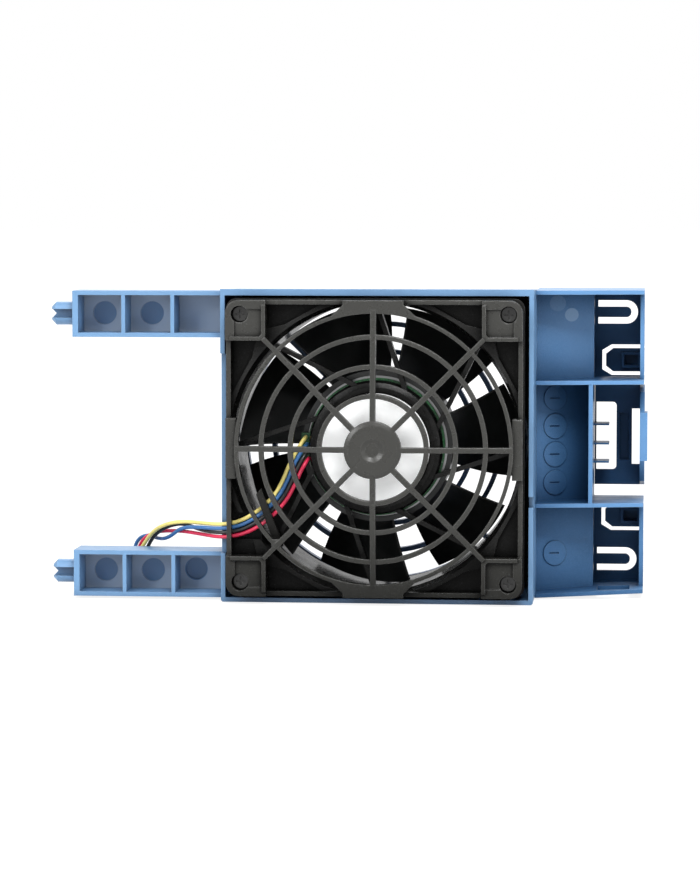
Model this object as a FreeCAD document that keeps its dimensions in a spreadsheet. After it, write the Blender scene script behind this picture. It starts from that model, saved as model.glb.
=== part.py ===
import FreeCAD, Part
import math
import os
import re

import Sketcher

# Server fan module: a 92 mm axial fan with a finger guard, held in a hot-swap carrier.
#
# The row frame: +X runs along the module from its locating pins to its handle end, +Z is up and
# +Y runs from the guard to the rear grille. The origin lies on the underside of the carrier's
# cage, below the fan's axis and half way through the cage's depth.
#
# Most sketches are drawn as (x, height) on a plane at some depth. The carrier's depths count from
# the cage's front edge, and its x from a datum that stands fan_across to the left of the fan's
# axis. The fan's depths count from a plane fan_proud in front of that edge. Sketches of turned
# pieces are drawn as (depth, radius) about the fan's axis.

# ---------------------------------------------------------------- driving dimensions, millimetres

SIZES = {
    # cage of the carrier
    "cage_depth": 48.5, "cage_height": 96.9, "cage_left": 46.9, "cage_right": 49.7,
    "cage_wall": 1.4, "top_draft": 1.2, "grille_depth": 3.5, "rib_width": 1.5,
    # guide arms and their locating pins
    "arm_end": 94.0, "arm_front": 5.5, "arm_depth": 13.0, "arm_tall": 14.4, "arm_rim": 1.35,
    "arm_floor": 1.7, "lower_arm": 0.7, "upper_arm": 81.7, "pin_radius": 3.65, "pin_long": 7.3,
    "pin_depth": 12.0, "pin_web": 2.4,
    # handle end of the carrier
    "handle_front": 15.3, "handle_slope": 6.3, "handle_end": 83.2, "skin": 1.3, "ramp_front": 26.0,
    "ramp_rear": 34.4, "step": 67.4, "deep_floor": 47.0, "end_wall_front": 30.5,
    "upper_web": 66.9, "lower_web": 28.6, "web": 1.25, "taper": 1.1,
    # release latch and lock tongues
    "latch_top": 65.4, "latch_bottom": 33.5, "latch_end": 83.4, "latch_wall": 1.5,
    "hinge_gap": 0.1, "tongue_root": 32.0, "tongue_tip": 69.75, "tongue_half": 4.9,
    "tongue_gap": 1.2, "upper_tongue": 73.35, "lower_tongue": 23.6,
    # fan
    "fan_size": 92.0, "fan_depth": 38.0, "fan_height": 48.1, "fan_front": 2.5,
    "fan_across": 1.0, "fan_proud": 2.5,
    "hole_half": 41.25, "bore_radius": 44.5, "flange": 4.5, "base_radius": 20.7,
    "strut_width": 1.5, "strut_front": 4.0, "strut_deep": 4.0, "struts": 8,
    # finger guard
    "guard_half": 45.6, "guard_rim": 1.4, "guard_front": 3.4, "web_deep": 2.0, "crown": 7.0,
    "crown_fall": 0.0735,
    "ring_width": 1.5, "spoke_width": 1.7, "spokes": 8, "boss_radius": 8.8, "corner_pad": 12.4,
    # motor
    "hub_radius": 23.5, "tip_radius": 43.6, "hub_front": 11.0, "hub_rear": 39.4, "blades": 7,
    "blade_turn": 16.3,
    "yoke_radius": 21.9, "magnet_outer": 20.9, "magnet_inner": 18.5, "core_radius": 17.9,
    "tube_radius": 5.0, "bearing_radius": 4.0, "shaft_radius": 1.5, "board_front": 8.2,
    "board_radius": 21.3, "label_radius": 16.8, "label_front": 3.2,
    # lead
    "wire_radius": 0.6,
}

os.makedirs("parts", exist_ok=True)
doc = FreeCAD.newDocument("server_fan_module")
sheet = doc.addObject("Spreadsheet::Sheet", "dims")
for row, (alias, number) in enumerate(SIZES.items(), start=1):
    sheet.set(f"A{row}", alias)
    sheet.set(f"B{row}", str(number))
    sheet.setAlias(f"B{row}", alias)
doc.recompute()

# ---------------------------------------------------------------- helpers


def bound(text):
    """The expression with the name of each size led back to its cell."""
    return re.sub("[a-z_]+", lambda word: "dims." + word[0] if word[0] in SIZES else word[0], str(text))


def new_body(label):
    body = doc.addObject("PartDesign::Body", label)
    body.Label = label
    return body


def new_sketch(body, role, shift):
    """A sketch on one of the body's own planes, its origin moved by three expressions."""
    sketch = body.newObject("Sketcher::SketchObject", body.Label + "_sketch")
    planes = [item for item in body.Origin.OriginFeatures if item.Role == role]
    sketch.AttachmentSupport = [(planes[0], "")]
    sketch.MapMode = "FlatFace"
    for letter, expression in zip("xyz", shift):
        sketch.setExpression("AttachmentOffset.Base." + letter, bound(expression))
    return sketch


def face(body, depth):
    """Drawn as (x, height), seen from the front, at a depth behind the cage's front edge."""
    return new_sketch(body, "XZ_Plane", ("-fan_across", "0", f"cage_depth / 2 - ({depth})"))


def fan_face(body, depth):
    """As face, with its origin on the fan's axis and its depth from the fan's own plane."""
    return new_sketch(body, "XZ_Plane", ("0", "fan_height", f"cage_depth / 2 + fan_proud - ({depth})"))


def plan(body, height):
    """Drawn as (x, depth), seen from above, at a height."""
    return new_sketch(body, "XY_Plane", ("-fan_across", "-cage_depth / 2", height))


def side(body, across):
    """Drawn as (depth, height) at a distance along x."""
    return new_sketch(body, "YZ_Plane", ("-cage_depth / 2", "0", f"{across} - fan_across"))


def turned(body):
    """Drawn as (depth, radius) about the fan's axis."""
    return new_sketch(body, "YZ_Plane", ("-cage_depth / 2 - fan_proud", "fan_height", "0"))


def bind(sketch, kind, vertex, expression):
    """Ties one coordinate of a vertex to the sketch's origin by an expression."""
    index = sketch.addConstraint(Sketcher.Constraint(kind, -1, 1, vertex[0], vertex[1], 1.0))
    sketch.setExpression(f"Constraints[{index}]", bound(expression))


def outline(sketch, corners):
    """A closed outline of straight lines through corners given as pairs of expressions."""
    count = len(corners)
    first = sketch.GeometryCount
    start = [FreeCAD.Vector(math.cos(math.tau * turn / count), math.sin(math.tau * turn / count), 0)
             for turn in range(count)]
    sketch.addGeometry([Part.LineSegment(start[turn], start[turn - count + 1])
                        for turn in range(count)], False)
    sketch.addConstraint([Sketcher.Constraint("Coincident", first + turn, 2,
                                              first + (turn + 1) % count, 1)
                          for turn in range(count)])
    for turn, (across, along) in enumerate(corners):
        bind(sketch, "DistanceX", (first + turn, 1), across)
        bind(sketch, "DistanceY", (first + turn, 1), along)


def rectangle(sketch, left, right, bottom, top):
    outline(sketch, [(left, bottom), (right, bottom), (right, top), (left, top)])


def circle(sketch, across, along, radius):
    index = sketch.addGeometry(Part.Circle(FreeCAD.Vector(), FreeCAD.Vector(0, 0, 1), 1), False)
    bind(sketch, "DistanceX", (index, 3), across)
    bind(sketch, "DistanceY", (index, 3), along)
    size = sketch.addConstraint(Sketcher.Constraint("Radius", index, 1.0))
    sketch.setExpression(f"Constraints[{size}]", bound(radius))


def feature(body, kind, sketch, length, turn_round):
    item = body.newObject("PartDesign::" + kind, body.Label + "_" + kind.lower())
    item.Profile = sketch
    item.Reversed = turn_round
    item.setExpression("Length", bound(length))
    return item


def pad_back(body, sketch, length):
    """Material from a face sketch towards the rear."""
    return feature(body, "Pad", sketch, length, True)


def cut_back(body, sketch, length):
    """A cut from a face sketch towards the rear."""
    return feature(body, "Pocket", sketch, length, False)


def pad_on(body, sketch, length):
    """Material along the sketch's own normal: up from a plan, towards +X from a side."""
    return feature(body, "Pad", sketch, length, False)


def cut_on(body, sketch, length):
    """A cut along the sketch's own normal."""
    return feature(body, "Pocket", sketch, length, True)


def turn(body, corners, kind="Revolution"):
    """A turned form, or a turned cut, from an outline of (depth, radius) pairs."""
    sketch = turned(body)
    outline(sketch, corners)
    item = body.newObject("PartDesign::" + kind, body.Label + "_" + kind.lower())
    item.Profile = sketch
    item.ReferenceAxis = (sketch, ["H_Axis"])
    item.Angle = 360
    return item


def repeat(body, item, count):
    """Copies of a feature, evenly spaced about the normal at its sketch's origin."""
    pattern = body.newObject("PartDesign::PolarPattern", body.Label + "_pattern")
    pattern.Originals = [item]
    pattern.Axis = (item.Profile[0], ["N_Axis"])
    pattern.Angle = 360
    pattern.setExpression("Occurrences", bound(count))
    body.Tip = pattern
    return pattern


def dress(body, kind, size, wanted):
    """A fillet or chamfer on the edges of the body so far whose ends pass a test."""
    doc.recompute()
    base = body.Tip
    names = []
    for number, edge in enumerate(base.Shape.Edges, start=1):
        ends = [vertex.Point for vertex in edge.Vertexes]
        if wanted(ends[0], ends[-1]):
            names.append(f"Edge{number}")
    item = body.newObject("PartDesign::" + kind, body.Label + "_" + kind.lower())
    item.Base = (base, names)
    item.setExpression("Radius" if kind == "Fillet" else "Size", bound(size))
    return item


def along_depth(first, last):
    level = abs(first.x - last.x) < 0.01 and abs(first.z - last.z) < 0.01
    return level and abs(first.y - last.y) > 0.01


def near(point, spots):
    """Whether a point stands at one of the spots, given as (x, height)."""
    return any(abs(point.x - across) < 0.05 and abs(point.z - height) < 0.05
               for across, height in spots)


def round_corners(body, radius, spots, datum=0):
    """Rounds the edges that run along the depth at the given spots, their x from a datum."""
    moved = [(across + datum, height) for across, height in spots]
    dress(body, "Fillet", radius, lambda first, last: along_depth(first, last) and near(first, moved))


CARRIER = -SIZES["fan_across"]

# ---------------------------------------------------------------- carrier


def carrier_frame():
    """The square tube round the fan, open at the front, its left edge set back for the lead."""
    body = new_body("carrier_frame")
    walls = face(body, "0")
    rectangle(walls, "-cage_left", "cage_right", "0", "cage_height")
    rectangle(walls, "-cage_left + cage_wall", "cage_right - cage_wall",
              "cage_wall", "cage_height - cage_wall - top_draft / 2")
    pad_back(body, walls, "cage_depth")
    set_back = face(body, "0")
    rectangle(set_back, "-cage_left - 1", "-cage_left + cage_wall + 1", "lower_arm + arm_tall", "77")
    cut_back(body, set_back, "3")
    grip_notch = face(body, "0")
    rectangle(grip_notch, "cage_right - cage_wall - 1", "cage_right + 1", "30", "33.4")
    cut_back(body, grip_notch, "4")
    draft = side(body, "-cage_left - 1")
    outline(draft, [("0", "cage_height"), ("cage_depth", "cage_height - top_draft"),
                    ("cage_depth", "cage_height + 1"), ("0", "cage_height + 1")])
    cut_on(body, draft, "cage_left + cage_right + 2")
    corners = [(across, 0) for across in (-SIZES["cage_left"], SIZES["cage_right"])]
    round_corners(body, "0.8", corners, CARRIER)
    return body


def rear_grille():
    """The ribbed panel behind the fan: a plate with a round opening, rings and spokes."""
    body = new_body("rear_grille")
    front = "cage_depth + fan_proud - grille_depth"
    panel = fan_face(body, front)
    rectangle(panel, "-cage_left + cage_wall - fan_across", "cage_right - cage_wall - fan_across",
              "cage_wall - fan_height", "cage_height - cage_wall - top_draft / 2 - fan_height")
    circle(panel, "0", "0", "bore_radius + 0.5")
    pad_back(body, panel, "grille_depth")
    rings = fan_face(body, front)
    for middle in ("36.5", "27.6", "18.6"):
        circle(rings, "0", "0", middle + " + rib_width / 2")
        circle(rings, "0", "0", middle + " - rib_width / 2")
    pad_back(body, rings, "grille_depth")
    hub = fan_face(body, front)
    circle(hub, "0", "0", "9.5")
    pad_back(body, hub, "grille_depth")
    spoke = fan_face(body, front)
    rectangle(spoke, "8", "bore_radius + 1", "-rib_width / 2", "rib_width / 2")
    repeat(body, pad_back(body, spoke, "grille_depth"), "8")
    return body


def guide_arm(label, bottom):
    """An arm of three open cells that ends in a grooved locating pin."""
    body = new_body(label)
    block = face(body, "arm_front")
    rectangle(block, "-arm_end", "-cage_left", bottom, bottom + " + arm_tall")
    pad_back(body, block, "arm_depth")
    cells = face(body, "arm_front")
    for left, right in (("-arm_end + 1.8", "-78.6"), ("-77.4", "-63.2"), ("-62.0", "-cage_left")):
        rectangle(cells, left, right, bottom + " + arm_rim", bottom + " + arm_tall - arm_rim")
    cut_back(body, cells, "arm_depth - arm_floor")
    marks = face(body, "arm_front + arm_depth - arm_floor")
    for middle in ("-85.6", "-70.6"):
        circle(marks, middle, bottom + " + arm_tall / 2", "3.75")
    cut_back(body, marks, "0.4")
    pin = side(body, "-arm_end")
    circle(pin, "pin_depth", bottom + " + arm_tall / 2", "pin_radius")
    feature(body, "Pad", pin, "pin_long", True)
    tip = -SIZES["arm_end"] - SIZES["pin_long"] + CARRIER
    dress(body, "Chamfer", "1.3", lambda first, last: max(first.x, last.x) < tip + 0.01)
    return body


def groove_pin(body, bottom):
    """Flutes on the front and the back of the locating pin, and the notch in its tip."""
    middle = bottom + " + arm_tall / 2"
    for start in ("pin_depth - pin_radius - 0.1", "pin_depth + pin_web / 2"):
        flute = face(body, start)
        rectangle(flute, "-arm_end - pin_long - 1", "-arm_end", middle + " - 1.35", middle + " + 1.35")
        cut_back(body, flute, "pin_radius - pin_web / 2 + 0.1")
    notch = face(body, "pin_depth - pin_radius")
    outline(notch, [("-arm_end - pin_long - 0.5", middle + " - 2"), ("-arm_end - pin_long + 1.4", middle),
                    ("-arm_end - pin_long - 0.5", middle + " + 2")])
    cut_back(body, notch, "2 * pin_radius")


def guide_arm_upper():
    body = guide_arm("guide_arm_upper", "upper_arm")
    groove_pin(body, "upper_arm")
    return body


def guide_arm_lower():
    """The lower arm also carries two rails behind it that hold the connector."""
    body = guide_arm("guide_arm_lower", "lower_arm")
    groove_pin(body, "lower_arm")
    recess = face(body, "arm_front + arm_depth - arm_floor")
    circle(recess, "-56.9", "lower_arm + arm_tall / 2 + 0.4", "3.25")
    cut_back(body, recess, "1")
    rails = face(body, "arm_front + arm_depth")
    for low in ("lower_arm", "12.3"):
        rectangle(rails, "-arm_end + 0.6", "-arm_end + 9.4", low, low + " + 1")
    pad_back(body, rails, "14")
    return body


def handle_outline(sketch):
    """The floor of the handle end seen from above: ramp, step, deep floor and end wall."""
    outline(sketch, [("cage_right", "ramp_front"), ("step", "ramp_rear"), ("step", "deep_floor"),
                     ("handle_end - skin", "deep_floor"), ("handle_end - skin", "end_wall_front"),
                     ("handle_end", "end_wall_front"), ("handle_end", "cage_depth"),
                     ("step - skin", "cage_depth"), ("step - skin", "ramp_rear + 0.9"),
                     ("cage_right", "ramp_front + 1.5")])


def finger_slot(sketch, tip, root, middle, upright=False):
    """A U-shaped slot round a spring finger: its tip, its root and the height of its middle."""
    low, high = middle + " - 3.75", middle + " + 3.75"
    inner_low, inner_high = middle + " - 1.65", middle + " + 1.65"
    inner_tip = tip + (" + 2.1" if upright else " - 2.1")
    outline(sketch, [(root, high), (tip, high), (tip, low), (root, low), (root, inner_low),
                     (inner_tip, inner_low), (inner_tip, inner_high), (root, inner_high)])


def tongue_outline(sketch, middle, inset):
    """The six-sided outline of a lock tongue, drawn in by an inset; it runs out past the end wall."""
    reach = f"tongue_half - {inset}"
    outline(sketch, [("handle_end + 1", f"{middle} - ({reach})"),
                     (f"tongue_tip + 3 + {inset} * 0.4", f"{middle} - ({reach})"),
                     (f"tongue_tip + {inset}", f"{middle} - ({reach}) + 1.8"),
                     (f"tongue_tip + {inset}", f"{middle} + ({reach}) - 1.8"),
                     (f"tongue_tip + 3 + {inset} * 0.4", f"{middle} + ({reach})"),
                     ("handle_end + 1", f"{middle} + ({reach})")])


def handle_end():
    """The stepped end that the hand takes: three bays, spring fingers and openings for the latches."""
    body = new_body("handle_end")
    floor = plan(body, "1.6")
    handle_outline(floor)
    pad_on(body, floor, "cage_height - 3")
    webs = face(body, "handle_front")
    rectangle(webs, "cage_right", "handle_end", "cage_height - 0.7 - skin", "cage_height - 0.7")
    for low in ("upper_web", "lower_web"):
        rectangle(webs, "cage_right", "handle_end", low, low + " + web")
    outline(webs, [("cage_right", "0.4"), ("handle_end", "0.4 + taper"),
                   ("handle_end", "0.4 + taper + skin"), ("cage_right", "0.4 + skin")])
    pad_back(body, webs, "cage_depth - handle_front")
    slope = plan(body, "-1")
    outline(slope, [("cage_right", "handle_front"), ("cage_right", "handle_front - 2"),
                    ("handle_end + 1", "handle_front - 2"),
                    ("handle_end + 1", "handle_front + handle_slope")])
    cut_on(body, slope, "cage_height + 2")
    latch_bay = face(body, "ramp_front")
    rectangle(latch_bay, "step", "handle_end + 1", "lower_web + web", "upper_web")
    cut_back(body, latch_bay, "cage_depth - ramp_front + 1")
    inner_wall = plan(body, "lower_web")
    rectangle(inner_wall, "step - skin", "step", "18.5", "ramp_rear + 2")
    pad_on(body, inner_wall, "upper_web + web - lower_web")
    for middle in ("upper_tongue", "lower_tongue"):
        opening = face(body, "tongue_root")
        tongue_outline(opening, middle, "0")
        cut_back(body, opening, "cage_depth - tongue_root + 1")
    fingers = face(body, "deep_floor - 1")
    walls = side(body, "handle_end - skin - 0.5")
    for middle in ("88.6", "9.5"):
        finger_slot(fingers, "81.0", "68.4", middle)
        finger_slot(walls, "44.2", "32", middle)
    cut_back(body, fingers, "4")
    cut_on(body, walls, "3")
    spots = [(81.0, middle + step) for middle in (88.6, 9.5) for step in (-3.75, 3.75)]
    round_corners(body, "3.6", spots, CARRIER)
    spots = [(78.9, middle + step) for middle in (88.6, 9.5) for step in (-1.65, 1.65)]
    round_corners(body, "1.55", spots, CARRIER)
    floor_window = plan(body, "-1")
    rectangle(floor_window, "68.9", "79", "22.5", "33")
    cut_on(body, floor_window, "5")
    ribs = face(body, "36")
    for low in ("41.2", "47", "53.1"):
        rectangle(ribs, "step - 0.2", "step + 4.8", low, low + " + 0.6")
    pad_back(body, ribs, "9")
    return body


def mould_dials():
    """Bare round inserts on the ramp, each with a pointer groove; they lie along the slope."""
    body = new_body("mould_dials")
    dials = new_sketch(body, "XZ_Plane",
                       ("cage_right - fan_across", "0", "cage_depth / 2 - ramp_front"))
    slope = math.degrees(math.atan2(SIZES["ramp_rear"] - SIZES["ramp_front"],
                                    SIZES["step"] - SIZES["cage_right"]))
    dials.AttachmentOffset = FreeCAD.Placement(dials.AttachmentOffset.Base,
                                               FreeCAD.Rotation(FreeCAD.Vector(0, 1, 0), slope))
    for middle in ("62.2", "53.3", "44.4", "35.5", "13.2"):
        circle(dials, "6.3", middle, "3.9")
        rectangle(dials, "4.4", "7.6", middle + " - 0.25", middle + " + 0.25")
    feature(body, "Pad", dials, "0.35", False)
    return body


def release_latch():
    """A sprung plate with two windows, a catch bar and the upright wall that is squeezed."""
    body = new_body("release_latch")
    plate = face(body, "deep_floor")
    rectangle(plate, "step + hinge_gap", "latch_end", "latch_bottom", "latch_top")
    rectangle(plate, "step + 0.6", "74.4", "38.3", "59.9")
    rectangle(plate, "79.3", "latch_end - latch_wall", "40", "57.8")
    pad_back(body, plate, "cage_depth - deep_floor")
    wall = side(body, "latch_end - latch_wall")
    outline(wall, [("deep_floor", "latch_bottom"), ("38.6", "latch_bottom + 1.8"),
                   ("end_wall_front", "42.3"), ("end_wall_front", "57.5"),
                   ("38.6", "latch_top - 1.8"), ("deep_floor", "latch_top")])
    pad_on(body, wall, "latch_wall")
    grip = side(body, "latch_end")
    outline(grip, [("end_wall_front", "42.3"), ("end_wall_front", "57.5"), ("39", "57.5"), ("39", "42.3")])
    pad_on(body, grip, "0.9")
    catch = plan(body, "40.4")
    outline(catch, [("74.4", "cage_depth - 0.4"), ("75.6", "cage_depth + 2"), ("79.3", "cage_depth + 2"),
                    ("79.3", "cage_depth - 0.4")])
    pad_on(body, catch, "17")
    hollow = face(body, "deep_floor")
    rectangle(hollow, "75.4", "78.3", "41.4", "56.4")
    cut_back(body, hollow, "2.2")
    round_corners(body, "1.2", [(74.4, 38.3), (74.4, 59.9)], CARRIER)
    return body


def lock_tongue(label, middle):
    """An angled tongue: it hangs from the front edge of the end wall and lies in the deep floor."""
    body = new_body(label)
    leaf = face(body, "deep_floor")
    tongue_outline(leaf, middle, "tongue_gap")
    pad_back(body, leaf, "cage_depth - deep_floor")
    trim = plan(body, "0")
    rectangle(trim, "handle_end", "handle_end + 3", "0", "cage_depth + 2")
    cut_on(body, trim, "cage_height")
    stem = face(body, "tongue_root + hinge_gap")
    rectangle(stem, "handle_end - skin", "handle_end",
              f"{middle} - tongue_half + tongue_gap", f"{middle} + tongue_half - tongue_gap")
    pad_back(body, stem, "cage_depth - tongue_root - hinge_gap")
    rim = face(body, "deep_floor - 1.6")
    rectangle(rim, "75.9", "handle_end - skin", middle + " - 2.5", middle + " + 2.5")
    pad_back(body, rim, "4.6")
    pocket = face(body, "deep_floor - 1.6")
    rectangle(pocket, "76.8", "81.2", middle + " - 1.65", middle + " + 1.65")
    cut_back(body, pocket, "3.8")
    return body

# ---------------------------------------------------------------- fan housing and finger guard


def fan_housing():
    """The fan's square frame: bore, two flanges, bell mouth and the channel for the lead."""
    body = new_body("fan_housing")
    block = fan_face(body, "fan_front")
    rectangle(block, "-fan_size / 2", "fan_size / 2", "-fan_size / 2", "fan_size / 2")
    circle(block, "0", "0", "bore_radius")
    pad_back(body, block, "fan_depth")
    half = SIZES["fan_size"] / 2
    middle = SIZES["fan_height"]
    corners = [(across, middle + rise) for across in (-half, half) for rise in (-half, half)]
    round_corners(body, "3.3", corners)
    waist = fan_face(body, "fan_front + flange")
    rectangle(waist, "-fan_size / 2 - 1", "fan_size / 2 + 1", "-fan_size / 2 - 1", "fan_size / 2 + 1")
    circle(waist, "0", "0", "fan_size / 2 - 0.1")
    cut_back(body, waist, "fan_depth - 2 * flange")
    hollow = fan_face(body, "fan_front")
    for across in (-1, 1):
        for rise in (-1, 1):
            outline(hollow, [(f"{across} * 44.6", f"{rise} * 35.2"), (f"{across} * 44.6", f"{rise} * 16"),
                             (f"{across} * 38", f"{rise} * 27.8"), (f"{across} * 36.2", f"{rise} * 35.2")])
            outline(hollow, [(f"{across} * 35.2", f"{rise} * 44.6"), (f"{across} * 16", f"{rise} * 44.6"),
                             (f"{across} * 27.8", f"{rise} * 38"), (f"{across} * 35.2", f"{rise} * 36.2")])
    cut_back(body, hollow, "2")
    holes = fan_face(body, "fan_front")
    for across in ("-hole_half", "hole_half"):
        for rise in ("-hole_half", "hole_half"):
            circle(holes, across, rise, "2.2")
    cut_back(body, holes, "fan_depth")
    turn(body, [("fan_front - 1", "bore_radius - 1"), ("fan_front - 1", "bore_radius + 1.4"),
                ("fan_front + 0.4", "bore_radius + 1"), ("fan_front + 3", "bore_radius + 0.2"),
                ("fan_front + 5", "bore_radius - 1")], "Groove")
    lead_channel = fan_face(body, "fan_front")
    rectangle(lead_channel, "-fan_size / 2 - 1", "-35.4", "-28.6", "-20.2")
    cut_back(body, lead_channel, "3.6")
    return body


def motor_base():
    """The motor's shallow cup and the slanted struts that carry it from the wall of the bore."""
    body = new_body("motor_base")
    turn(body, [("strut_front + 2.2", "tube_radius"), ("label_front + 0.2", "tube_radius"),
                ("label_front + 0.2", "label_radius + 0.3"), ("2.9", "label_radius + 0.5"),
                ("2.9", "18.6"), ("3.6", "20.1"), ("5.2", "base_radius"),
                ("board_front", "base_radius"), ("board_front", "base_radius - 1.4"),
                ("strut_front + 2.2", "base_radius - 2")])
    strut = fan_face(body, "strut_front")
    outline(strut, [("bore_radius + 0.6", "strut_width / 2"), ("bore_radius + 0.6", "-strut_width / 2"),
                    ("16.2", "-9.6 - strut_width / 2"), ("16.2", "-9.6 + strut_width / 2")])
    repeat(body, pad_back(body, strut, "strut_deep"), "struts")
    turn(body, [("strut_front - 1", "bore_radius"), ("strut_front - 1", "bore_radius + 9"),
                ("strut_front + strut_deep + 1", "bore_radius + 9"),
                ("strut_front + strut_deep + 1", "bore_radius")], "Groove")
    return body


def crown_depth(radius):
    """The depth of the guard's crown at a radius: it rises evenly from the outer ring to the boss."""
    return f"-crown + (({radius}) - boss_radius) * crown_fall"


def finger_guard():
    """The moulded guard: four rings and eight spokes that rise to a boss, on corner pads and legs."""
    body = new_body("finger_guard")
    rim = fan_face(body, "-1")
    rectangle(rim, "-guard_half", "guard_half", "-guard_half", "guard_half")
    rectangle(rim, "-guard_half + guard_rim", "guard_half - guard_rim",
              "-guard_half + guard_rim", "guard_half - guard_rim")
    pad_back(body, rim, "fan_front + 1")
    pad = fan_face(body, "-guard_front")
    rectangle(pad, "guard_half - corner_pad", "guard_half", "guard_half - corner_pad", "guard_half")
    repeat(body, pad_back(body, pad, "fan_front + guard_front"), "4")
    half = SIZES["guard_half"]
    middle = SIZES["fan_height"]
    round_corners(body, "4", [(across, middle + rise) for across in (-half, half)
                              for rise in (-half, half)])
    hollow = fan_face(body, "-guard_front + 1.8")
    rectangle(hollow, "guard_half - corner_pad + 1.2", "guard_half - 1.6",
              "guard_half - corner_pad + 1.2", "guard_half - 1.6")
    repeat(body, cut_back(body, hollow, "fan_front + guard_front - 1.8"), "4")
    post = fan_face(body, "-guard_front + 1")
    circle(post, "hole_half", "hole_half", "3.5")
    repeat(body, pad_back(body, post, "fan_front + guard_front - 1"), "4")
    well = fan_face(body, "-guard_front")
    rectangle(well, "guard_half - corner_pad + 1.2", "guard_half - 2.8",
              "guard_half - corner_pad + 1.2", "guard_half - 2.8")
    repeat(body, cut_back(body, well, "0.6"), "4")
    ridge = fan_face(body, "-guard_front - 0.7")
    outline(ridge, [("guard_half - corner_pad", "guard_half - 1.4"),
                    ("guard_half - corner_pad", "guard_half - corner_pad + 1.4"),
                    ("guard_half - corner_pad + 1.4", "guard_half - corner_pad"),
                    ("guard_half - 1.4", "guard_half - corner_pad"),
                    ("guard_half - 1.4", "guard_half - corner_pad + 1.2"),
                    ("guard_half - corner_pad + 1.9", "guard_half - corner_pad + 1.2"),
                    ("guard_half - corner_pad + 1.2", "guard_half - corner_pad + 1.9"),
                    ("guard_half - corner_pad + 1.2", "guard_half - 1.4")])
    repeat(body, pad_back(body, ridge, "1.5"), "4")
    for depth, radius, long in (("-guard_front - 1", "2.6", "guard_front + 1.7"), ("0.5", "2.2", "2")):
        holes = fan_face(body, depth)
        circle(holes, "hole_half", "hole_half", radius)
        repeat(body, cut_back(body, holes, long), "4")
    for radius, width in (("16.4", "ring_width"), ("25.4", "ring_width"), ("34.45", "ring_width"),
                          ("42.2", "1.2")):
        ring = fan_face(body, crown_depth(radius) + " + 0.1")
        circle(ring, "0", "0", f"{radius} + {width} / 2")
        circle(ring, "0", "0", f"{radius} - {width} / 2")
        pad_back(body, ring, "web_deep")
    spoke = turned(body)
    root, end = "boss_radius - 1", "42.7"
    outline(spoke, [(crown_depth(root), root), (crown_depth(end), end),
                    (crown_depth(end) + " + web_deep", end), (crown_depth(root) + " + web_deep", root)])
    bar = pad_on(body, spoke, "spoke_width")
    bar.SideType = "Symmetric"
    spread = repeat(body, bar, "spokes")
    spread.Axis = (spoke, ["H_Axis"])
    turn(body, [("-crown - 0.4", "0"), ("-crown - 0.4", "boss_radius - 1.3"), ("-crown", "boss_radius"),
                ("-crown + 2.4", "boss_radius"), ("-crown + 2.4", "0")])
    turn(body, [("-crown - 0.6", "0"), ("-crown - 0.6", "3.7"), ("-crown - 0.4", "3.6"),
                ("-crown + 0.2", "2.2"), ("-crown + 0.3", "0")], "Groove")
    brim = crown_depth("42.2") + " + 0.1"
    for way in ("1", "-1"):
        tab = fan_face(body, brim)
        outline(tab, [(across, f"{way} * {rise}") for across, rise in
                      (("-9.3", "guard_half"), ("-9.3", "44.2"), ("-13", "40.7"), ("-6.5", "41.7"),
                       ("6.5", "41.7"), ("13", "40.7"), ("9.3", "44.2"), ("9.3", "guard_half"))])
        pad_back(body, tab, "web_deep")
        leg = fan_face(body, brim)
        outline(leg, [(across, f"{way} * {rise}") for across, rise in
                      (("-9.3", "guard_half"), ("-9.3", "44.2"), ("9.3", "44.2"), ("9.3", "guard_half"))])
        pad_back(body, leg, f"fan_front - ({brim})")
        lug = fan_face(body, brim + " + 1.4")
        outline(lug, [(f"{way} * 42.4", "-9.3"), (f"{way} * guard_half", "-9.3"),
                      (f"{way} * guard_half", "9.3"), (f"{way} * 42.4", "9.3")])
        pad_back(body, lug, f"fan_front - 1.4 - ({brim})")
    link = fan_face(body, brim + " - 0.1")
    outline(link, [("29.3", "30.3"), ("30.3", "29.3"), ("34.4", "33.4"), ("33.4", "34.4")])
    repeat(body, pad_back(body, link, "2.6"), "4")
    finger = fan_face(body, "0.2")
    outline(finger, [("-36.6", "-14.4"), ("-35", "-12.6"), ("-28.3", "-29.4"), ("-31.2", "-29.4")])
    pad_back(body, finger, "1.9")
    hanger = fan_face(body, brim)
    outline(hanger, [("-31.6", "-27.8"), ("-29", "-27.8"), ("-28.3", "-30.4"), ("-31.2", "-30.4")])
    pad_back(body, hanger, f"2.1 - ({brim})")
    return body


def guard_pins():
    """Four screw pins sunk in the guard's pads: cross-slotted head, shank, split tail."""
    body = new_body("guard_pins")
    head = fan_face(body, "-0.5")
    circle(head, "hole_half", "hole_half", "2.3")
    repeat(body, pad_back(body, head, "1.2"), "4")
    shank = fan_face(body, "0.4")
    circle(shank, "hole_half", "hole_half", "2.1")
    repeat(body, pad_back(body, shank, "fan_front + flange + 1.1"), "4")
    cross = fan_face(body, "-0.5")
    slot = [("-1.4", "-0.3"), ("-0.3", "-0.3"), ("-0.3", "-1.4"), ("0.3", "-1.4"), ("0.3", "-0.3"), ("1.4", "-0.3"),
            ("1.4", "0.3"), ("0.3", "0.3"), ("0.3", "1.4"), ("-0.3", "1.4"), ("-0.3", "0.3"), ("-1.4", "0.3")]
    outline(cross, [(f"hole_half + {across}", f"hole_half + {rise}") for across, rise in slot])
    repeat(body, cut_back(body, cross, "0.5"), "4")
    split = fan_face(body, "fan_front + 1")
    for across in ("-hole_half", "hole_half"):
        rectangle(split, across + " - 0.3", across + " + 0.3", "-hole_half - 3", "hole_half + 3")
    cut_back(body, split, "flange + 2")
    return body


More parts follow.
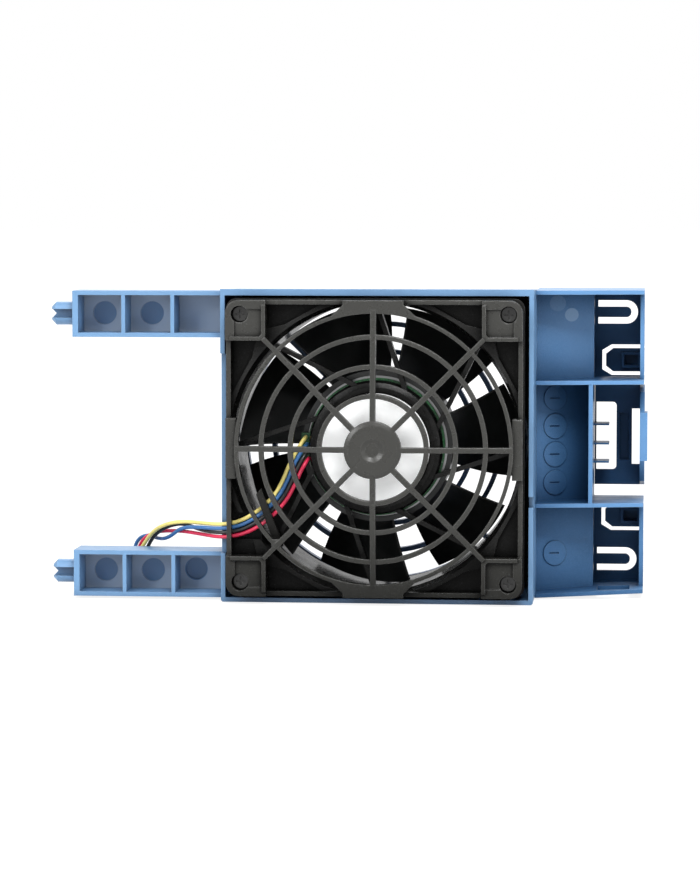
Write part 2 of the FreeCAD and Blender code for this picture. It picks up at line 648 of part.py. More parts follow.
def isolators():
    """Rubber posts between the fan's rear flange and the grille, with nubs in the fan's holes."""
    body = new_body("isolators")
    rear = "fan_front + fan_depth"
    for radius, start, long in (("4.4", rear, f"cage_depth + fan_proud - grille_depth - ({rear})"),
                                ("2.1", rear + " - 3", "3.5")):
        posts = fan_face(body, start)
        for across in ("-hole_half", "hole_half"):
            for rise in ("-hole_half", "hole_half"):
                circle(posts, across, rise, radius)
        pad_back(body, posts, long)
    return body


# ---------------------------------------------------------------- rotor


def impeller():
    """A cup-shaped hub with seven wide, twisted blades that lean back towards their tips."""
    body = new_body("impeller")
    turn(body, [("hub_front", "0"), ("hub_front", "hub_radius"), ("hub_rear - 1.5", "hub_radius"),
                ("hub_rear - 0.4", "hub_radius - 0.6"), ("hub_rear", "hub_radius - 1.8"), ("hub_rear", "0")])
    sections = []
    for reach, half, lean in ((20.6, 7.8, 0.0), (33.0, 12.6, -0.6), (47.0, 17.4, -3.4)):
        across = f"{lean} * cos(blade_turn) - {reach} * sin(blade_turn)"
        along = f"fan_height + {reach} * cos(blade_turn) + {lean} * sin(blade_turn)"
        section = new_sketch(body, "XY_Plane", (across, "-cage_depth / 2 - fan_proud", along))
        level = FreeCAD.Rotation(FreeCAD.Vector(0, 1, 0), -SIZES["blade_turn"])
        section.AttachmentOffset = FreeCAD.Placement(section.AttachmentOffset.Base, level)
        blade_section(section, half)
        sections.append(section)
    blade = body.newObject("PartDesign::AdditiveLoft", "blade")
    blade.Profile = sections[0]
    blade.Sections = sections[1:]
    doc.recompute()
    pattern = body.newObject("PartDesign::PolarPattern", "blade_pattern")
    pattern.Originals = [blade]
    axis = turned(body)
    outline(axis, [("0", "0"), ("1", "0"), ("1", "1")])
    pattern.Axis = (axis, ["H_Axis"])
    pattern.Angle = 360
    pattern.setExpression("Occurrences", bound("blades"))
    body.Tip = pattern
    turn(body, [("5", "tip_radius"), ("5", "60"), ("45", "60"), ("45", "tip_radius")], "Groove")
    turn(body, [("hub_front - 5", "0"), ("hub_front - 5", "yoke_radius"), ("hub_rear - 1.6", "yoke_radius"),
                ("hub_rear - 1.6", "4"), ("hub_rear - 8", "4"), ("hub_rear - 8", "0")], "Groove")
    turn(body, [("hub_rear - 8", "0"), ("hub_rear - 8", "shaft_radius"), ("hub_rear - 1", "shaft_radius"),
                ("hub_rear - 1", "0")], "Groove")
    return body


def blade_section(sketch, half):
    """A cambered blade section as (x, depth): trailing edge in front, leading edge behind."""
    front = FreeCAD.Vector(-half, 14.0, 0)
    rear = FreeCAD.Vector(half, 37.0, 0)
    across = (rear - front).normalize().cross(FreeCAD.Vector(0, 0, 1))
    middle = (front + rear) * 0.5
    blunt = across * 0.35
    upper = Part.Arc(front - blunt, middle - across * 3.0, rear - blunt)
    lower = Part.Arc(front + blunt, middle - across * 1.1, rear + blunt)
    ends = [Part.LineSegment(front - blunt, front + blunt), Part.LineSegment(rear - blunt, rear + blunt)]
    sketch.addGeometry([upper, lower] + ends, False)


def rotor_yoke():
    body = new_body("rotor_yoke")
    turn(body, [("hub_front + 1", "magnet_outer"), ("hub_front + 1", "yoke_radius"),
                ("hub_rear - 1.6", "yoke_radius"), ("hub_rear - 1.6", "4.2"), ("hub_rear - 2.6", "4.2"),
                ("hub_rear - 2.6", "magnet_outer")])
    return body


def magnet_ring():
    body = new_body("magnet_ring")
    turn(body, [("hub_front + 2", "magnet_inner"), ("hub_front + 2", "magnet_outer"),
                ("hub_rear - 4", "magnet_outer"), ("hub_rear - 4", "magnet_inner")])
    return body


def rotor_shaft():
    """The ground shaft, with a groove for its clip."""
    body = new_body("rotor_shaft")
    turn(body, [("6", "0"), ("6", "shaft_radius - 0.3"), ("6.3", "shaft_radius"), ("7", "shaft_radius"),
                ("7", "shaft_radius - 0.35"), ("7.6", "shaft_radius - 0.35"), ("7.6", "shaft_radius"),
                ("hub_rear - 1", "shaft_radius"), ("hub_rear - 1", "0")])
    return body


def shaft_clip():
    body = new_body("shaft_clip")
    turn(body, [("7.05", "shaft_radius - 0.35"), ("7.05", "2.7"), ("7.55", "2.7"),
                ("7.55", "shaft_radius - 0.35")])
    return body


def preload_washer():
    """The washer between the hub's boss and the rear bearing's inner ring."""
    body = new_body("preload_washer")
    turn(body, [("30.2", "shaft_radius + 0.05"), ("30.2", "2.6"), ("hub_rear - 8", "2.6"),
                ("hub_rear - 8", "shaft_radius + 0.05")])
    return body

# ---------------------------------------------------------------- stator, bearings and board


def bearing_tube():
    """The brass tube that carries both bearings: a flange in front and two bearing seats."""
    body = new_body("bearing_tube")
    turn(body, [("5.2", "2.9"), ("5.2", "tube_radius"), ("31", "tube_radius"), ("31", "bearing_radius"),
                ("26", "bearing_radius"), ("26", "3.1"), ("14", "3.1"), ("14", "bearing_radius"),
                ("10", "bearing_radius"), ("10", "2.9")])
    return body


def ball_bearing(label, front):
    """A small ball bearing: inner and outer rings with a shield recessed on both faces."""
    body = new_body(label)
    turn(body, [(front, "shaft_radius + 0.02"), (front, "2.2"), (f"{front} + 0.3", "2.3"),
                (f"{front} + 0.3", "3.3"), (front, "3.4"), (front, "bearing_radius"),
                (f"{front} + 4", "bearing_radius"), (f"{front} + 4", "3.4"),
                (f"{front} + 3.7", "3.3"), (f"{front} + 3.7", "2.3"), (f"{front} + 4", "2.2"),
                (f"{front} + 4", "shaft_radius + 0.02")])
    return body


def stator_core():
    """The stack of laminations: a ring on the tube and four poles with wide shoes."""
    body = new_body("stator_core")
    ring = fan_face(body, "18")
    circle(ring, "0", "0", "8")
    circle(ring, "0", "0", "tube_radius")
    pad_back(body, ring, "12")
    pole = fan_face(body, "18")
    outline(pole, [("7", "-3.4"), ("14.8", "-3.4"), ("14.8", "-9.6"), ("19", "-9.6"), ("19", "9.6"),
                   ("14.8", "9.6"), ("14.8", "3.4"), ("7", "3.4")])
    repeat(body, pad_back(body, pole, "12"), "4")
    turn(body, [("17", "core_radius"), ("17", "24"), ("31", "24"), ("31", "core_radius")], "Groove")
    return body


def stator_windings():
    """Four coils, one round the neck of each pole."""
    body = new_body("stator_windings")
    coil = fan_face(body, "15.8")
    rectangle(coil, "8.4", "14.4", "-6", "6")
    repeat(body, pad_back(body, coil, "16.4"), "4")
    necks = fan_face(body, "18")
    cross = [("-20", "-3.4"), ("-3.4", "-3.4"), ("-3.4", "-20"), ("3.4", "-20"), ("3.4", "-3.4"), ("20", "-3.4"),
             ("20", "3.4"), ("3.4", "3.4"), ("3.4", "20"), ("-3.4", "20"), ("-3.4", "3.4"), ("-20", "3.4")]
    outline(necks, cross)
    cut_back(body, necks, "12")
    return body


def circuit_board():
    """The round driver board between the motor's base and the rotor."""
    body = new_body("circuit_board")
    disc = fan_face(body, "board_front")
    circle(disc, "0", "0", "board_radius")
    circle(disc, "0", "0", "tube_radius")
    pad_back(body, disc, "1.6")
    ear = fan_face(body, "board_front")
    rectangle(ear, "-board_radius - 2", "-board_radius + 2", "-5", "4.2")
    pad_back(body, ear, "1.6")
    return body


def board_components():
    """Driver chip, sensor and capacitors on the side of the board that faces the rotor."""
    body = new_body("board_components")
    rear = "board_front + 1.6"
    chip = fan_face(body, rear)
    rectangle(chip, "7.5", "12.5", "3", "8")
    rectangle(chip, "-1.6", "1.6", "-17.4", "-15.6")
    pad_back(body, chip, "1.4")
    cans = fan_face(body, rear)
    for across in ("-13", "-8.6"):
        circle(cans, across, "-8.4", "1.9")
    pad_back(body, cans, "4")
    return body


def motor_label():
    """The thin disc on the motor's base, left bare."""
    body = new_body("motor_label")
    disc = fan_face(body, "label_front")
    circle(disc, "0", "0", "label_radius")
    pad_back(body, disc, "0.2")
    return body

# ---------------------------------------------------------------- lead and connector


def connector_housing():
    """The four-way blind-mate housing behind the lower arm; its mouth faces the way the pins point."""
    body = new_body("connector_housing")
    block = face(body, "arm_front + arm_depth")
    rectangle(block, "-arm_end + 0.6", "-arm_end + 9.4", "1.7", "12.3")
    pad_back(body, block, "13")
    cavities = side(body, "-arm_end + 0.6")
    ports = side(body, "-arm_end + 9.4")
    for depth in ("22.9", "27.1"):
        for height in ("4.9", "9.1"):
            rectangle(cavities, depth + " - 1.6", depth + " + 1.6", height + " - 1.6", height + " + 1.6")
            circle(ports, depth, height, "0.9")
    cut_on(body, cavities, "6.4")
    feature(body, "Pocket", ports, "2.4", False)
    return body


def connector_contacts():
    """Four crimp contacts, one at the end of each wire."""
    body = new_body("connector_contacts")
    barrels = side(body, "-arm_end + 1.4")
    for depth in ("22.9", "27.1"):
        for height in ("4.9", "9.1"):
            circle(barrels, depth, height, "0.8")
    pad_on(body, barrels, "8")
    return body


# Each route runs (x, depth, height) from the board to the connector's rear face.
WIRES = {
    "wire_yellow": [
        (-21.9, 5.7, 51.0), (-21.9, 4.0, 51.0), (-22.4, 1.9, 50.2), (-23.7, 0.6, 48.0),
        (-26.4, 0.7, 43.3), (-28.4, 0.6, 38.2), (-30.9, 0.8, 33.5), (-34.3, 0.8, 30.0),
        (-38.4, 0.8, 26.9), (-42.8, 0.5, 24.8), (-48.1, 1.1, 23.9), (-54.6, 3.7, 24.1),
        (-61.0, 8.1, 24.2), (-67.0, 11.1, 22.9), (-71.8, 16.0, 20.0), (-75.4, 20.4, 15.2),
        (-78.4, 22.2, 11.1), (-81.7, 22.9, 9.1), (-85.6, 22.9, 9.1)],
    "wire_blue": [
        (-21.6, 5.7, 48.8), (-21.6, 3.5, 48.8), (-22.2, 1.7, 47.8), (-23.3, 0.7, 46.0),
        (-25.2, 0.6, 42.6), (-27.2, 0.7, 37.7), (-29.8, 0.7, 32.8), (-33.4, 0.6, 29.0),
        (-37.7, 0.8, 25.7), (-42.3, 0.6, 23.5), (-47.9, 1.0, 22.6), (-54.8, 2.5, 22.9),
        (-61.3, 8.3, 22.3), (-66.0, 12.8, 18.5), (-69.9, 18.9, 17.3), (-74.4, 23.5, 18.4),
        (-78.4, 26.8, 16.4), (-79.8, 27.2, 11.1), (-82.5, 27.1, 9.1), (-85.6, 27.1, 9.1)],
    "wire_black": [
        (-21.3, 5.7, 46.6), (-21.3, 3.6, 46.6), (-21.9, 1.8, 45.7), (-22.8, 0.9, 44.0),
        (-24.0, 0.7, 41.8), (-25.9, 0.7, 37.3), (-28.8, 0.8, 31.9), (-32.5, 0.8, 28.0),
        (-37.1, 0.8, 24.5), (-41.9, 0.6, 22.2), (-47.8, 1.0, 21.3), (-54.6, 4.2, 21.7),
        (-60.9, 9.7, 23.6), (-67.3, 13.1, 21.8), (-71.9, 18.2, 18.3), (-74.8, 20.8, 13.0),
        (-78.1, 22.3, 7.5), (-81.5, 22.9, 4.9), (-85.6, 22.9, 4.9)],
    "wire_red": [
        (-21.0, 5.7, 44.4), (-21.0, 3.5, 44.4), (-21.6, 1.6, 43.3), (-22.9, 0.6, 40.9),
        (-24.9, 0.7, 36.3), (-27.8, 0.8, 31.1), (-31.6, 0.6, 26.9), (-36.4, 1.0, 23.2),
        (-41.7, 0.5, 20.8), (-47.7, 0.9, 19.9), (-54.6, 5.0, 20.5), (-61.2, 10.2, 20.9),
        (-67.4, 15.5, 20.4), (-72.2, 19.9, 19.4), (-76.6, 22.8, 16.2), (-78.2, 25.2, 10.7),
        (-79.8, 26.5, 6.8), (-82.5, 27.1, 4.9), (-85.6, 27.1, 4.9)],
}


def rounded_path(points):
    """Straight runs joined by tangent arcs, each as large as its two runs allow."""
    edges = []
    radii = []
    start = points[0]
    for before, corner, after in zip(points, points[1:], points[2:]):
        inward = (before - corner).normalize()
        outward = (after - corner).normalize()
        half_turn = (math.pi - inward.getAngle(outward)) / 2
        trim = 0.45 * min(before.distanceToPoint(corner), after.distanceToPoint(corner))
        radius = trim / math.tan(half_turn)
        bisector = (inward + outward).normalize()
        crest = corner + bisector * (radius / math.cos(half_turn) - radius)
        edges.append(Part.LineSegment(start, corner + inward * trim).toShape())
        edges.append(Part.Arc(corner + inward * trim, crest, corner + outward * trim).toShape())
        start = corner + outward * trim
        radii.append(radius)
    edges.append(Part.LineSegment(start, points[-1]).toShape())
    return Part.Wire(edges), radii


def lead_wire(label, route):
    """One round wire as a tube along its route."""
    middle = sheet.cage_depth / 2
    radius = sheet.wire_radius
    points = [FreeCAD.Vector(across, depth - middle, height) for across, depth, height in route]
    path, radii = rounded_path(points)
    mouth = Part.Wire(Part.makeCircle(radius, points[0], points[1] - points[0]))
    tube = path.makePipeShell([mouth], True, False)
    item = doc.addObject("Part::Feature", label)
    item.Label = label
    item.Shape = tube
    expected = math.pi * radius ** 2 * path.Length
    print(label, "length", round(path.Length, 1), "volume ratio", round(tube.Volume / expected, 3),
          "smallest radii", [round(value, 1) for value in sorted(radii)[:4]])
    return item


# ---------------------------------------------------------------- building and writing

PARTS = [carrier_frame(), rear_grille(), guide_arm_upper(), guide_arm_lower(), handle_end(),
         mould_dials(), release_latch(), lock_tongue("lock_tongue_upper", "upper_tongue"),
         lock_tongue("lock_tongue_lower", "lower_tongue"), fan_housing(), motor_base(), finger_guard(),
         guard_pins(), isolators(), impeller(), rotor_yoke(), magnet_ring(), rotor_shaft(),
         shaft_clip(), preload_washer(), bearing_tube(), ball_bearing("front_bearing", "10"),
         ball_bearing("rear_bearing", "26"), stator_core(), stator_windings(), circuit_board(),
         board_components(), motor_label(), connector_housing(), connector_contacts()]
PARTS += [lead_wire(label, route) for label, route in WIRES.items()]
doc.recompute()

for item in doc.Objects:
    if "Invalid" in item.State or "Error" in item.State:
        raise RuntimeError("failed: " + item.Label)
for item in PARTS:
    if item.Shape.isNull() or not item.Shape.isValid() or not item.Shape.Solids:
        raise RuntimeError("bad shape: " + item.Label)
for item in PARTS:
    item.Shape.exportStep(f"parts/{item.Label}.step")
print(len(PARTS), "parts")
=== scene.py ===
import bpy
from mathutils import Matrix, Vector


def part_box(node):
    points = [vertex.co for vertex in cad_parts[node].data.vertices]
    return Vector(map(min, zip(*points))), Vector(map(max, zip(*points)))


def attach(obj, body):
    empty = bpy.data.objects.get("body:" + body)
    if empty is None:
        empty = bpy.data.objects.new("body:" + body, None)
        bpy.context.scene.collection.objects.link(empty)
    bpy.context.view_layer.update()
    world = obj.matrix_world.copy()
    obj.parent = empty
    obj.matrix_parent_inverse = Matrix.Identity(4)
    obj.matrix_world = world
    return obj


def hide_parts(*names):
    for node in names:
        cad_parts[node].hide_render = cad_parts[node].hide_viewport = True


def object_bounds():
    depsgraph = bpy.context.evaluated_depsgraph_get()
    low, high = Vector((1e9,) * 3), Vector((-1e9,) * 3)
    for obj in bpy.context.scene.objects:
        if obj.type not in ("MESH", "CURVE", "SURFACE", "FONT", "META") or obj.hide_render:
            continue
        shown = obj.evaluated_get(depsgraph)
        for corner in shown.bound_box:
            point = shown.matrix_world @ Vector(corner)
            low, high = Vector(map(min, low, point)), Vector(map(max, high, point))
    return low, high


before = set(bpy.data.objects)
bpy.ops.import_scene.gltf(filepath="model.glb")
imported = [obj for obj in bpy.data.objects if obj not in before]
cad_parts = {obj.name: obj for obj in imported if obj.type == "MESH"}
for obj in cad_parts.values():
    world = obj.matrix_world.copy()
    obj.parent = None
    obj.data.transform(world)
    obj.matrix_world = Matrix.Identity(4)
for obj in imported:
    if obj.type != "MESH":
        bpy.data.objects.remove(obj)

# The server fan module: materials for its solids, the lead's four wires as smooth curves, and a
# pale studio to look at it in.

cad_low, cad_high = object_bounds()
scene = bpy.context.scene


def add_object(name, data):
    """A new object in the scene, made from this data."""
    made = bpy.data.objects.new(name, data)
    scene.collection.objects.link(made)
    return made


def aim(thing, target):
    """Turn a camera or a lamp towards the target."""
    turn = (Vector(target) - thing.location).to_track_quat("-Z", "Y")
    thing.rotation_euler = turn.to_euler()


# ---------------------------------------------------------------- camera, as the object was looked at

EYE = (0.0873, -1.02425, 0.1244)
AIM = (-0.010, 0.0, 0.0478)
LENS_MM = 133
SENSOR_MM = 36
CLIP = (0.05, 50)

camera_data = bpy.data.cameras.new("camera")
camera_data.lens = LENS_MM
camera_data.sensor_width = SENSOR_MM
camera_data.clip_start, camera_data.clip_end = CLIP
camera = add_object("camera", camera_data)
camera.location = EYE
aim(camera, AIM)
scene.camera = camera

# ---------------------------------------------------------------- the lead: four wires

WIRE = 0.0012
WIRES = {
    "yellow": [
        (-0.0219, -0.01855, 0.0510), (-0.0219, -0.02025, 0.0510), (-0.0224, -0.02235, 0.0502),
        (-0.0237, -0.02365, 0.0480), (-0.0264, -0.02355, 0.0433), (-0.0284, -0.02365, 0.0382),
        (-0.0309, -0.02345, 0.0335), (-0.0343, -0.02345, 0.0300), (-0.0384, -0.02345, 0.0269),
        (-0.0428, -0.02375, 0.0248), (-0.0481, -0.02315, 0.0239), (-0.0546, -0.02055, 0.0241),
        (-0.0610, -0.01615, 0.0242), (-0.0670, -0.01315, 0.0229), (-0.0718, -0.00825, 0.0200),
        (-0.0754, -0.00385, 0.0152), (-0.0784, -0.00205, 0.0111), (-0.0817, -0.00135, 0.0091),
        (-0.0856, -0.00135, 0.0091)],
    "blue": [
        (-0.0216, -0.01855, 0.0488), (-0.0216, -0.02075, 0.0488), (-0.0222, -0.02255, 0.0478),
        (-0.0233, -0.02355, 0.0460), (-0.0252, -0.02365, 0.0426), (-0.0272, -0.02355, 0.0377),
        (-0.0298, -0.02355, 0.0328), (-0.0334, -0.02365, 0.0290), (-0.0377, -0.02345, 0.0257),
        (-0.0423, -0.02365, 0.0235), (-0.0479, -0.02325, 0.0226), (-0.0548, -0.02175, 0.0229),
        (-0.0613, -0.01595, 0.0223), (-0.0660, -0.01145, 0.0185), (-0.0699, -0.00535, 0.0173),
        (-0.0744, -0.00075, 0.0184), (-0.0784, 0.00255, 0.0164), (-0.0798, 0.00295, 0.0111),
        (-0.0825, 0.00285, 0.0091), (-0.0856, 0.00285, 0.0091)],
    "black": [
        (-0.0213, -0.01855, 0.0466), (-0.0213, -0.02065, 0.0466), (-0.0219, -0.02245, 0.0457),
        (-0.0228, -0.02335, 0.0440), (-0.0240, -0.02355, 0.0418), (-0.0259, -0.02355, 0.0373),
        (-0.0288, -0.02345, 0.0319), (-0.0325, -0.02345, 0.0280), (-0.0371, -0.02345, 0.0245),
        (-0.0419, -0.02365, 0.0222), (-0.0478, -0.02325, 0.0213), (-0.0546, -0.02005, 0.0217),
        (-0.0609, -0.01455, 0.0236), (-0.0673, -0.01115, 0.0218), (-0.0719, -0.00605, 0.0183),
        (-0.0748, -0.00345, 0.0130), (-0.0781, -0.00195, 0.0075), (-0.0815, -0.00135, 0.0049),
        (-0.0856, -0.00135, 0.0049)],
    "red": [
        (-0.0210, -0.01855, 0.0444), (-0.0210, -0.02075, 0.0444), (-0.0216, -0.02265, 0.0433),
        (-0.0229, -0.02365, 0.0409), (-0.0249, -0.02355, 0.0363), (-0.0278, -0.02345, 0.0311),
        (-0.0316, -0.02365, 0.0269), (-0.0364, -0.02325, 0.0232), (-0.0417, -0.02375, 0.0208),
        (-0.0477, -0.02335, 0.0199), (-0.0546, -0.01925, 0.0205), (-0.0612, -0.01405, 0.0209),
        (-0.0674, -0.00875, 0.0204), (-0.0722, -0.00435, 0.0194), (-0.0766, -0.00145, 0.0162),
        (-0.0782, 0.00095, 0.0107), (-0.0798, 0.00225, 0.0068), (-0.0825, 0.00285, 0.0049),
        (-0.0856, 0.00285, 0.0049)],
}
STEPS_ALONG = 12                # of the curve, between two points
STEPS_ROUND = 5                 # of the wire's round section


def make_wire(colour, route):
    """One wire along its route, in place of the plain tube of the same route."""
    data = bpy.data.curves.new("lead_" + colour, "CURVE")
    data.dimensions = "3D"
    spline = data.splines.new("NURBS")
    spline.points.add(len(route) - 1)
    for point, place in zip(spline.points, route):
        point.co = (*place, 1)
        point.radius = WIRE / 2
    spline.order_u = 3
    spline.use_endpoint_u = True
    spline.resolution_u = STEPS_ALONG
    data.bevel_depth = 1.0      # times the points' radius, which also widens the curve's box
    data.bevel_resolution = STEPS_ROUND
    data.use_fill_caps = True
    wire = add_object("lead_" + colour, data)
    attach(wire, "carrier")
    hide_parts("wire_" + colour)
    return wire


wires = {colour: make_wire(colour, route) for colour, route in WIRES.items()}

# ---------------------------------------------------------------- building node trees

NOISE_RANGE = (0.3, 0.7)        # where nearly all the values of a noise lie
EDGE_TURN = (0.995, 0.86)       # cosine of the turn from the flat normal: on a face, on an edge
SOFT_LINE = 0.0001              # half the width of a painted border
FACES_FRONT = (-0.5, -0.9)      # the normal's y where a face starts to count, and fully does


def tint(colour, times=1.0):
    """A colour made lighter or darker, with its alpha."""
    return (*[min(1, part * times) for part in colour], 1)


class Tree:
    """Short names for building any node tree."""

    def __init__(self, tree):
        self.tree = tree

    def add(self, kind, links=(), **values):
        """A new node; what goes into it is another node's socket or a plain value."""
        node = self.tree.nodes.new(kind)
        for key, value in values.items():
            setattr(node, key, value)
        for socket, value in dict(links).items():
            self.put(node.inputs[socket], value)
        return node

    def put(self, socket, value):
        """Link another node's socket to this one, or set its plain value."""
        if isinstance(value, bpy.types.NodeSocket):
            self.tree.links.new(value, socket)
        else:
            socket.default_value = value

    def math(self, what, first, second):
        return self.add("ShaderNodeMath", {0: first, 1: second}, operation=what).outputs["Value"]

    def vector(self, what, *values, gives="Vector"):
        node = self.add("ShaderNodeVectorMath", dict(enumerate(values)), operation=what)
        return node.outputs[gives]

    def ramp(self, value, low, high, out_low=0.0, out_high=1.0, curve="LINEAR"):
        """The value brought from one range to another, and held at its ends."""
        links = {"Value": value, "From Min": low, "From Max": high,
                 "To Min": out_low, "To Max": out_high}
        return self.add("ShaderNodeMapRange", links, interpolation_type=curve).outputs["Result"]

    def rays(self, *kinds):
        """1 for a ray of any of these kinds and 0 for any other."""
        path = self.add("ShaderNodeLightPath")
        found = path.outputs[kinds[0]]
        for kind in kinds[1:]:
            found = self.math("MAXIMUM", found, path.outputs[kind])
        return found


class Surface(Tree):
    """Short names for building one material round its shader."""

    def __init__(self, name):
        self.material = bpy.data.materials.new(name)
        self.material.use_nodes = True
        super().__init__(self.material.node_tree)
        self.shader = self.tree.nodes["Principled BSDF"]
        self.place = self.add("ShaderNodeTexCoord").outputs["Object"]

    def set(self, socket, value):
        """Give one of the shader's inputs its value or its link."""
        self.put(self.shader.inputs[socket], value)

    def noise(self, scale, detail=3.0, rough=0.55):
        """Noise with about this many waves in a metre."""
        links = {"Vector": self.place, "Scale": scale, "Detail": detail, "Roughness": rough}
        return self.add("ShaderNodeTexNoise", links).outputs["Fac"]

    def spread(self, noise, out_low=0.0, out_high=1.0):
        """A noise brought to the given range."""
        return self.ramp(noise, *NOISE_RANGE, out_low, out_high)

    def mix(self, amount, first, second):
        """The first colour where the amount is 0, the second where it is 1."""
        node = self.add("ShaderNodeMix", data_type="RGBA")
        self.put(node.inputs["Factor"], amount)
        self.put(node.inputs["A"], first)
        self.put(node.inputs["B"], second)
        return node.outputs["Result"]

    def rounded(self, radius):
        """The normal as if every sharp edge had this radius."""
        return self.add("ShaderNodeBevel", {"Radius": radius}, samples=4).outputs["Normal"]

    def edges(self, radius):
        """1 at sharp edges and 0 on the faces."""
        flat = self.add("ShaderNodeNewGeometry").outputs["Normal"]
        turn = self.vector("DOT_PRODUCT", self.rounded(radius), flat, gives="Value")
        return self.ramp(turn, *EDGE_TURN)

    def recess(self, distance):
        """1 in the open and 0 deep in a corner."""
        links = {"Distance": distance}
        return self.add("ShaderNodeAmbientOcclusion", links, samples=6).outputs["AO"]

    def discs(self, places, radius):
        """1 inside any round mark of this radius about the given (x, z) places."""
        inside = 0.0
        for x, z in places:
            away = self.vector("SUBTRACT", self.place, (x, 0, z))
            across = self.vector("MULTIPLY", away, (1, 0, 1))
            distance = self.vector("LENGTH", across, gives="Value")
            disc = self.ramp(distance, radius + SOFT_LINE, radius - SOFT_LINE)
            inside = self.math("MAXIMUM", disc, inside)
        return inside

    def front_faces(self, depth):
        """1 on the front faces that lie at or behind this depth."""
        y = self.add("ShaderNodeSeparateXYZ", {"Vector": self.place}).outputs["Y"]
        normal = self.add("ShaderNodeTexCoord").outputs["Normal"]
        turned = self.add("ShaderNodeSeparateXYZ", {"Vector": normal}).outputs["Y"]
        behind = self.ramp(y, depth - 3 * SOFT_LINE, depth - SOFT_LINE)
        return self.math("MULTIPLY", behind, self.ramp(turned, *FACES_FRONT))

    def bump(self, height, depth, normal=None):
        """The normal with a relief of this height pattern and depth in metres."""
        links = {"Height": height, "Distance": depth}
        if normal is not None:
            links["Normal"] = normal
        return self.add("ShaderNodeBump", links).outputs["Normal"]


# ---------------------------------------------------------------- kinds of material

MOTTLE = 0.04                   # the slow mottling, to either side of the colour
SCUFFS = (0.50, 0.72)           # the noise's values where an edge is least and most scuffed
PALE_EDGE_LEAST = 0.25              # how pale an edge is without scuffs: wear and painted highlight
CORNER_OPEN = (0.15, 0.85)      # how open a corner is where its painted shade is full, and where there is none
CORNER_SHADE = 0.85             # how far a tight corner goes to the painted shade
CAVITY_REACH = 0.045            # how far away walls still close a hollow in, for its painted shade
CAVITY_OPEN = (0.25, 0.85)      # how open a hollow is where it counts as closed, and as open
SPECULAR_OPEN = 0.5
SPECULAR_CLOSED = 0.06          # the shine left where a hollow is closed in: painted shade on the shine
CLOSED_IN = 0.6                 # how closed a hollow is from where that is all its shine
ROUGHNESS_VARIES = (-0.06, 0.07)
SPECKS = (0.68, 0.76)           # the noise's values where a speck of dust begins and is full
DUST = (0.45, 0.47, 0.50)


def moulded(name, base, wear_and_highlight, shade, rough, grain, depth=0.00003, edge=0.00022, soft=0.0,
            corner=0.014, cavity=0.0, dust=0.0):
    """Spark-textured moulded plastic: fine grain, slow mottling, paler edges that are part wear and
    part painted highlight, and painted shade in corners and hollows.

    grain and depth are the texture's scale and height. edge is the width of the paler edges, and
    soft a larger radius that the edges look rounded with. corner is how far the painted shade
    reaches out of a corner, cavity how far hollows go to the painted shade, with less shine there,
    and dust how much its specks show.
    """
    n = Surface(name)
    slow = n.spread(n.noise(45.0, 4.0, 0.6))
    colour = n.mix(slow, tint(base, 1 - MOTTLE), tint(base, 1 + MOTTLE))
    scuff = n.ramp(n.noise(420.0, 5.0, 0.7), *SCUFFS, PALE_EDGE_LEAST, 1.0)
    # Paler edges: part wear, with scuffs, and part painted highlight along every edge.
    colour = n.mix(n.math("MULTIPLY", n.edges(edge), scuff), colour, tint(wear_and_highlight))
    # Painted shade in corners, by how open they are.
    colour = n.mix(n.ramp(n.recess(corner), *CORNER_OPEN, CORNER_SHADE, 0.0), colour, tint(shade))
    # Painted shade in hollows, and less shine there: also painted shade.
    if cavity:
        closed = n.ramp(n.recess(CAVITY_REACH), *CAVITY_OPEN, 1.0, 0.0)
        colour = n.mix(n.math("MULTIPLY", closed, cavity), colour, tint(shade))
        shine = n.ramp(closed, 0.0, CLOSED_IN, SPECULAR_OPEN, SPECULAR_CLOSED)
        n.set("Specular IOR Level", shine)
    if dust:
        specks = n.ramp(n.noise(2600.0, 2.0, 0.5), *SPECKS, 0.0, dust)
        colour = n.mix(specks, colour, tint(DUST))
    n.set("Base Color", colour)
    smoothest, roughest = (rough + varies for varies in ROUGHNESS_VARIES)
    n.set("Roughness", n.spread(n.noise(160.0, 4.0, 0.6), smoothest, roughest))
    n.set("Normal", n.bump(n.noise(grain, 3.0, 0.6), depth, n.rounded(max(edge, soft))))
    n.colour = colour
    return n


def metal(name, base, rough, lines, stretch):
    """Turned or drawn metal: fine tool lines along one direction and slight discolouring."""
    n = Surface(name)
    n.set("Metallic", 1.0)
    n.place = n.add("ShaderNodeMapping", {"Vector": n.place, "Scale": stretch}).outputs["Vector"]
    drawn = n.noise(lines, 4.0, 0.6)
    n.set("Base Color", n.mix(n.spread(drawn), tint(base, 0.8), tint(base)))
    n.set("Roughness", n.spread(drawn, rough, rough + 0.15))
    n.set("Normal", n.bump(drawn, 0.00002, n.rounded(0.0001)))
    return n.material


def insulation(name, base):
    """Extruded wire insulation: glossy, with faint draw marks."""
    n = Surface(name)
    slow = n.spread(n.noise(130.0, 3.0))
    n.set("Base Color", n.mix(slow, tint(base, 0.85), tint(base, 1.08)))
    n.set("Roughness", n.spread(n.noise(900.0), 0.28, 0.42))
    n.set("Normal", n.bump(n.noise(1400.0), 0.00002))
    return n.material


def board():
    """Green solder resist over a pattern of tracks, on glass-filled laminate."""
    n = Surface("board_resist")
    links = {"Vector": n.place, "Scale": 900.0}
    cells = n.add("ShaderNodeTexVoronoi", links, feature="DISTANCE_TO_EDGE").outputs["Distance"]
    tracks = n.ramp(cells, 0.06, 0.10)
    n.set("Base Color", n.mix(tracks, (0.02, 0.13, 0.04, 1), (0.007, 0.065, 0.020, 1)))
    n.set("Roughness", n.spread(n.noise(300.0), 0.25, 0.4))
    n.set("Normal", n.bump(tracks, 0.00004))
    return n.material


